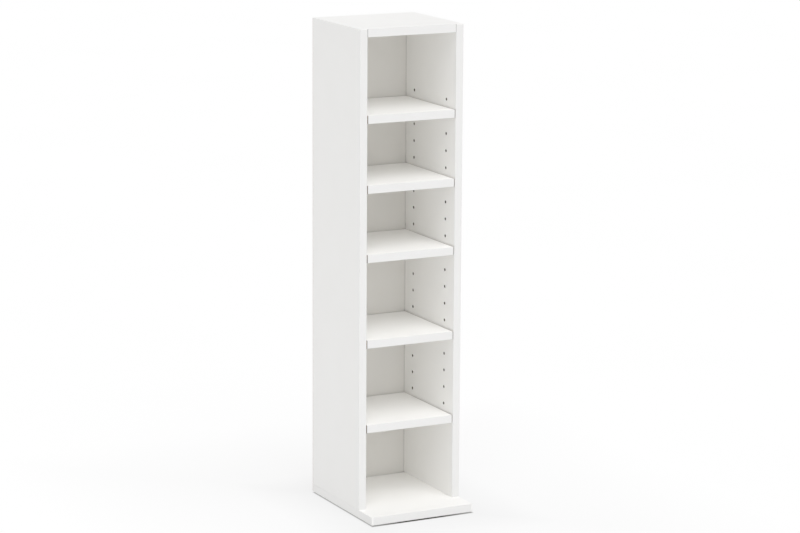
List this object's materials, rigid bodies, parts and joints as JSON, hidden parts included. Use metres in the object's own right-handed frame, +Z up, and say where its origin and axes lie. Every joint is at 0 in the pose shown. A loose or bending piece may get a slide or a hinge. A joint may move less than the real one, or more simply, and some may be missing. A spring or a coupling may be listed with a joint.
{
  "type": "bookcase",
  "caption": "Slim white tower bookcase with a projecting base plate, loose adjustable shelves on pins in drilled rows, cam-locked top and nailed back.",
  "frame": {"origin": "middle of the footprint at floor level, under the glides", "axes": "+Z up, +Y to the back panel, so the open front faces -Y, and +X to the right seen from the front"},
  "size_m": [0.21, 0.255, 0.91],
  "materials": {
    "melamine": "white melamine paper on chipboard, satin with a fine pearl grain",
    "edge_band": "white edge band, satin",
    "back_board": "hardboard, white lacquer on the inside and bare brown fibre behind",
    "steel": "zinc-plated",
    "nickel_steel": "nickel-plated",
    "zinc": "die-cast zinc, dull",
    "beech": "beech, raw",
    "glide_plastic": "matt"
  },
  "bodies": {
    "case": {"left_side_panel": "melamine", "right_side_panel": "melamine", "top_panel": "melamine", "base_plate": "melamine", "back_panel": "back_board", "left_side_edge_bands": "edge_band", "right_side_edge_bands": "edge_band", "top_edge_band": "edge_band", "base_edge_band": "edge_band", "cam_bolts": "steel", "top_dowels": "beech", "base_dowels": "beech", "base_screws": "steel", "back_panel_nails": "steel", "glides": "glide_plastic", "glide_nails": "steel", "shelf_1_pins": "nickel_steel", "shelf_2_pins": "nickel_steel", "shelf_3_pins": "nickel_steel", "shelf_4_pins": "nickel_steel", "shelf_5_pins": "nickel_steel"},
    "shelf_1_loose": {"shelf_1": "melamine", "shelf_1_edge_band": "edge_band"},
    "shelf_2_loose": {"shelf_2": "melamine", "shelf_2_edge_band": "edge_band"},
    "shelf_3_loose": {"shelf_3": "melamine", "shelf_3_edge_band": "edge_band"},
    "shelf_4_loose": {"shelf_4": "melamine", "shelf_4_edge_band": "edge_band"},
    "shelf_5_loose": {"shelf_5": "melamine", "shelf_5_edge_band": "edge_band"},
    "front_left_cam_turning": {"front_left_cam": "zinc"},
    "front_right_cam_turning": {"front_right_cam": "zinc"},
    "rear_left_cam_turning": {"rear_left_cam": "zinc"},
    "rear_right_cam_turning": {"rear_right_cam": "zinc"}
  },
  "joints": [
    {"name": "shelf_1_slide", "type": "slide", "parent": "case", "child": "shelf_1_loose", "axis": [0, -1, 0], "range_m": [0, 0.2]},
    {"name": "shelf_2_slide", "type": "slide", "parent": "case", "child": "shelf_2_loose", "axis": [0, -1, 0], "range_m": [0, 0.2]},
    {"name": "shelf_3_slide", "type": "slide", "parent": "case", "child": "shelf_3_loose", "axis": [0, -1, 0], "range_m": [0, 0.2]},
    {"name": "shelf_4_slide", "type": "slide", "parent": "case", "child": "shelf_4_loose", "axis": [0, -1, 0], "range_m": [0, 0.2]},
    {"name": "shelf_5_slide", "type": "slide", "parent": "case", "child": "shelf_5_loose", "axis": [0, -1, 0], "range_m": [0, 0.2]},
    {"name": "front_left_cam_turn", "type": "hinge", "parent": "case", "child": "front_left_cam_turning", "pos_m": [-0.066, -0.0365, 0.895], "axis": [0, 0, 1], "range_deg": [-180, 0]},
    {"name": "front_right_cam_turn", "type": "hinge", "parent": "case", "child": "front_right_cam_turning", "pos_m": [0.066, -0.0365, 0.895], "axis": [0, 0, 1], "range_deg": [-180, 0]},
    {"name": "rear_left_cam_turn", "type": "hinge", "parent": "case", "child": "rear_left_cam_turning", "pos_m": [-0.066, 0.0915, 0.895], "axis": [0, 0, 1], "range_deg": [-180, 0]},
    {"name": "rear_right_cam_turn", "type": "hinge", "parent": "case", "child": "rear_right_cam_turning", "pos_m": [0.066, 0.0915, 0.895], "axis": [0, 0, 1], "range_deg": [-180, 0]}
  ]
}
